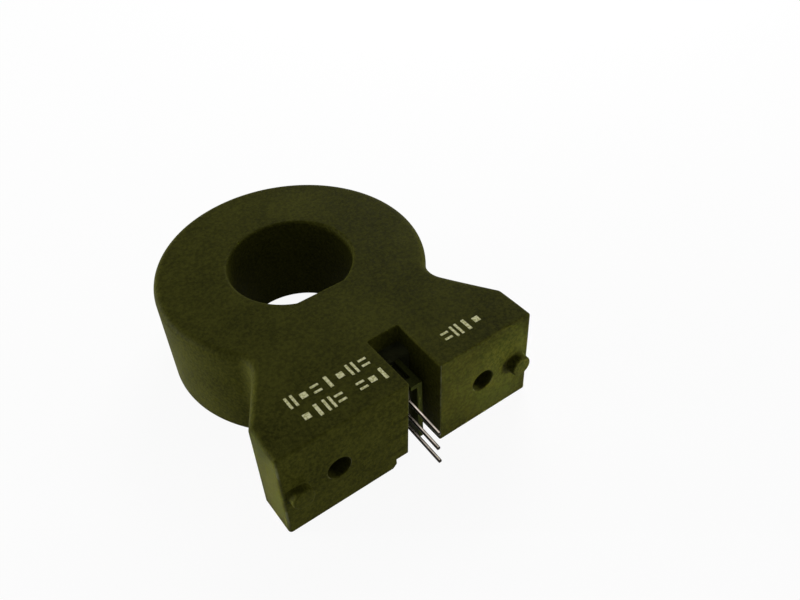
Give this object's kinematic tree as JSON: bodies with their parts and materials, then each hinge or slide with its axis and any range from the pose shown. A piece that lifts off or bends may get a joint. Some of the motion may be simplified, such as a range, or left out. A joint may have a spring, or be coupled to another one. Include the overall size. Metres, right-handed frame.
{
  "type": "hall effect current sensor",
  "caption": "Ring-shaped hall effect current sensor: a conductor passes through its bore, and a slotted mounting base carries the sensing element and its leads.",
  "frame": {"origin": "on the bore's axis, at the back face that the part lies on", "axes": "+Z along the bore towards the printed front; +Y away from the mounting face, so the base and its leads look along -Y"},
  "size_m": [0.0344, 0.0473, 0.013],
  "materials": {
    "housing_plastic": "fine matte moulded texture, olive black",
    "cover_plastic": "fine matte, olive black",
    "foam": "closed-cell foam, dull grey",
    "core_steel": "stamped sheet steel with an insulating coat",
    "carrier_plastic": "dark olive, satin",
    "substrate_ceramic": "ceramic under a dark coat",
    "chip_silicon": "polished",
    "cap_ceramic": "fired, dull white",
    "resin": "cast, half gloss black",
    "tinned_lead": "bright tinned",
    "solder": "dull solder",
    "ink": "pale yellowish ink, matt"
  },
  "bodies": {
    "root": {"housing": "housing_plastic", "back_cover": "cover_plastic", "core_pad": "foam", "core_lamination_01": "core_steel", "core_lamination_02": "core_steel", "core_lamination_03": "core_steel", "core_lamination_04": "core_steel", "core_lamination_05": "core_steel", "core_lamination_06": "core_steel", "core_lamination_07": "core_steel", "core_lamination_08": "core_steel", "core_lamination_09": "core_steel", "core_lamination_10": "core_steel", "core_lamination_11": "core_steel", "core_lamination_12": "core_steel", "core_lamination_13": "core_steel", "core_lamination_14": "core_steel", "core_lamination_15": "core_steel", "core_lamination_16": "core_steel", "core_lamination_17": "core_steel", "core_lamination_18": "core_steel", "sensor_carrier": "carrier_plastic", "hall_substrate": "substrate_ceramic", "hall_chip": "chip_silicon", "chip_cap": "cap_ceramic", "resin_seal": "resin", "lead_supply": "tinned_lead", "lead_output": "tinned_lead", "lead_ground": "tinned_lead", "solder_supply": "solder", "solder_output": "solder", "solder_ground": "solder", "ink_marks": "ink"}
  },
  "joints": []
}
